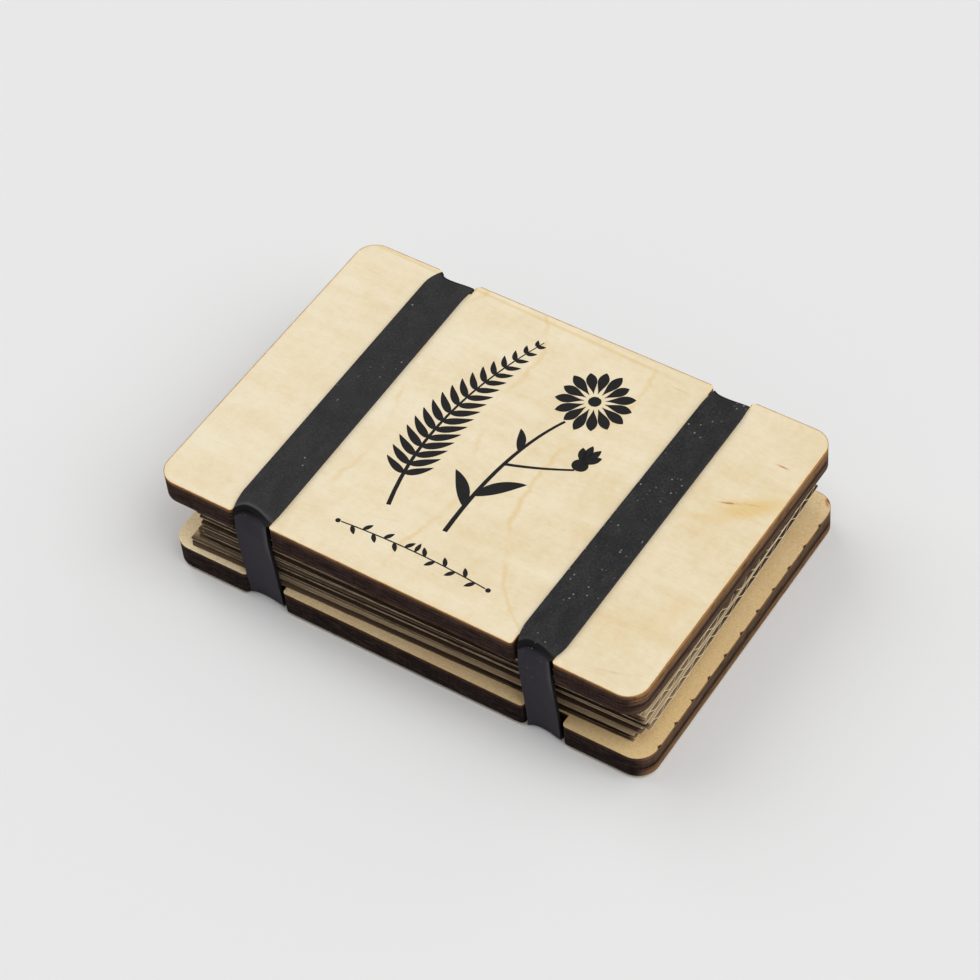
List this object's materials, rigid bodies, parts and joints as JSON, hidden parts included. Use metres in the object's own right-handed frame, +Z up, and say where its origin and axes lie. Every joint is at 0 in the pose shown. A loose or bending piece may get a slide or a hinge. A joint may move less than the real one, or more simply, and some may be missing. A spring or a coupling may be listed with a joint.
{
  "type": "flower press",
  "caption": "Pocket flower press: notched plywood boards held by flat rubber bands over fluted cards and blotting papers.",
  "frame": {"origin": "middle of the underside of the bands that the press stands on, which is the bottom centre of the whole press", "axes": "+X along the long side of the boards, +Y across them, +Z up through the stack"},
  "size_m": [0.1314, 0.0882, 0.0299],
  "materials": {
    "birch_face": "sanded, unfinished",
    "birch_inside": "sanded, unfinished",
    "birch_crossband": "laser-charred edge",
    "birch_core": "laser-charred edge",
    "corrugated_card": "matte kraft",
    "blotting_paper": "soft matte",
    "rubber_band": "matte, lightly talced"
  },
  "bodies": {
    "base": {"lower_board_inside_veneer": "birch_inside", "lower_board_inner_crossband": "birch_crossband", "lower_board_core_veneer": "birch_core", "lower_board_outer_crossband": "birch_crossband", "lower_board_face_veneer": "birch_face", "rubber_band_left": "rubber_band", "rubber_band_right": "rubber_band"},
    "top_board": {"upper_board_face_veneer": "birch_face", "upper_board_outer_crossband": "birch_crossband", "upper_board_core_veneer": "birch_core", "upper_board_inner_crossband": "birch_crossband", "upper_board_inside_veneer": "birch_inside"},
    "card_5": {"corrugated_card_5": "corrugated_card"},
    "blotter_4_lower": {"blotter_4_lower": "blotting_paper"},
    "blotter_4_upper": {"blotter_4_upper": "blotting_paper"},
    "card_4": {"corrugated_card_4": "corrugated_card"},
    "blotter_3_lower": {"blotter_3_lower": "blotting_paper"},
    "blotter_3_upper": {"blotter_3_upper": "blotting_paper"},
    "card_3": {"corrugated_card_3": "corrugated_card"},
    "blotter_2_lower": {"blotter_2_lower": "blotting_paper"},
    "blotter_2_upper": {"blotter_2_upper": "blotting_paper"},
    "card_2": {"corrugated_card_2": "corrugated_card"},
    "blotter_1_lower": {"blotter_1_lower": "blotting_paper"},
    "blotter_1_upper": {"blotter_1_upper": "blotting_paper"},
    "card_1": {"corrugated_card_1": "corrugated_card"}
  },
  "joints": [
    {"name": "top_board_lift", "type": "slide", "parent": "base", "child": "top_board", "axis": [0, 0, 1], "range_m": [0, 0.02], "stiffness_N_per_m": 720, "springref_m": -0.023, "deforming": ["rubber_band_left", "rubber_band_right"]},
    {"name": "card_5_lift", "type": "slide", "parent": "base", "child": "card_5", "axis": [0, 0, 1], "range_m": [0, 0.0004]},
    {"name": "blotter_4_lower_lift", "type": "slide", "parent": "base", "child": "blotter_4_lower", "axis": [0, 0, 1], "range_m": [0, 0.0008]},
    {"name": "blotter_4_upper_lift", "type": "slide", "parent": "base", "child": "blotter_4_upper", "axis": [0, 0, 1], "range_m": [0, 0.0048]},
    {"name": "card_4_lift", "type": "slide", "parent": "base", "child": "card_4", "axis": [0, 0, 1], "range_m": [0, 0.0052]},
    {"name": "blotter_3_lower_lift", "type": "slide", "parent": "base", "child": "blotter_3_lower", "axis": [0, 0, 1], "range_m": [0, 0.0056]},
    {"name": "blotter_3_upper_lift", "type": "slide", "parent": "base", "child": "blotter_3_upper", "axis": [0, 0, 1], "range_m": [0, 0.0096]},
    {"name": "card_3_lift", "type": "slide", "parent": "base", "child": "card_3", "axis": [0, 0, 1], "range_m": [0, 0.01]},
    {"name": "blotter_2_lower_lift", "type": "slide", "parent": "base", "child": "blotter_2_lower", "axis": [0, 0, 1], "range_m": [0, 0.0104]},
    {"name": "blotter_2_upper_lift", "type": "slide", "parent": "base", "child": "blotter_2_upper", "axis": [0, 0, 1], "range_m": [0, 0.0144]},
    {"name": "card_2_lift", "type": "slide", "parent": "base", "child": "card_2", "axis": [0, 0, 1], "range_m": [0, 0.0148]},
    {"name": "blotter_1_lower_lift", "type": "slide", "parent": "base", "child": "blotter_1_lower", "axis": [0, 0, 1], "range_m": [0, 0.0152]},
    {"name": "blotter_1_upper_lift", "type": "slide", "parent": "base", "child": "blotter_1_upper", "axis": [0, 0, 1], "range_m": [0, 0.0192]},
    {"name": "card_1_lift", "type": "slide", "parent": "base", "child": "card_1", "axis": [0, 0, 1], "range_m": [0, 0.0196]}
  ],
  "couplings": [
    {"joint": "card_5_lift", "follows": "top_board_lift", "ratio": 0.02},
    {"joint": "blotter_4_lower_lift", "follows": "top_board_lift", "ratio": 0.04},
    {"joint": "blotter_4_upper_lift", "follows": "top_board_lift", "ratio": 0.24},
    {"joint": "card_4_lift", "follows": "top_board_lift", "ratio": 0.26},
    {"joint": "blotter_3_lower_lift", "follows": "top_board_lift", "ratio": 0.28},
    {"joint": "blotter_3_upper_lift", "follows": "top_board_lift", "ratio": 0.48},
    {"joint": "card_3_lift", "follows": "top_board_lift", "ratio": 0.5},
    {"joint": "blotter_2_lower_lift", "follows": "top_board_lift", "ratio": 0.52},
    {"joint": "blotter_2_upper_lift", "follows": "top_board_lift", "ratio": 0.72},
    {"joint": "card_2_lift", "follows": "top_board_lift", "ratio": 0.74},
    {"joint": "blotter_1_lower_lift", "follows": "top_board_lift", "ratio": 0.76},
    {"joint": "blotter_1_upper_lift", "follows": "top_board_lift", "ratio": 0.96},
    {"joint": "card_1_lift", "follows": "top_board_lift", "ratio": 0.98}
  ]
}
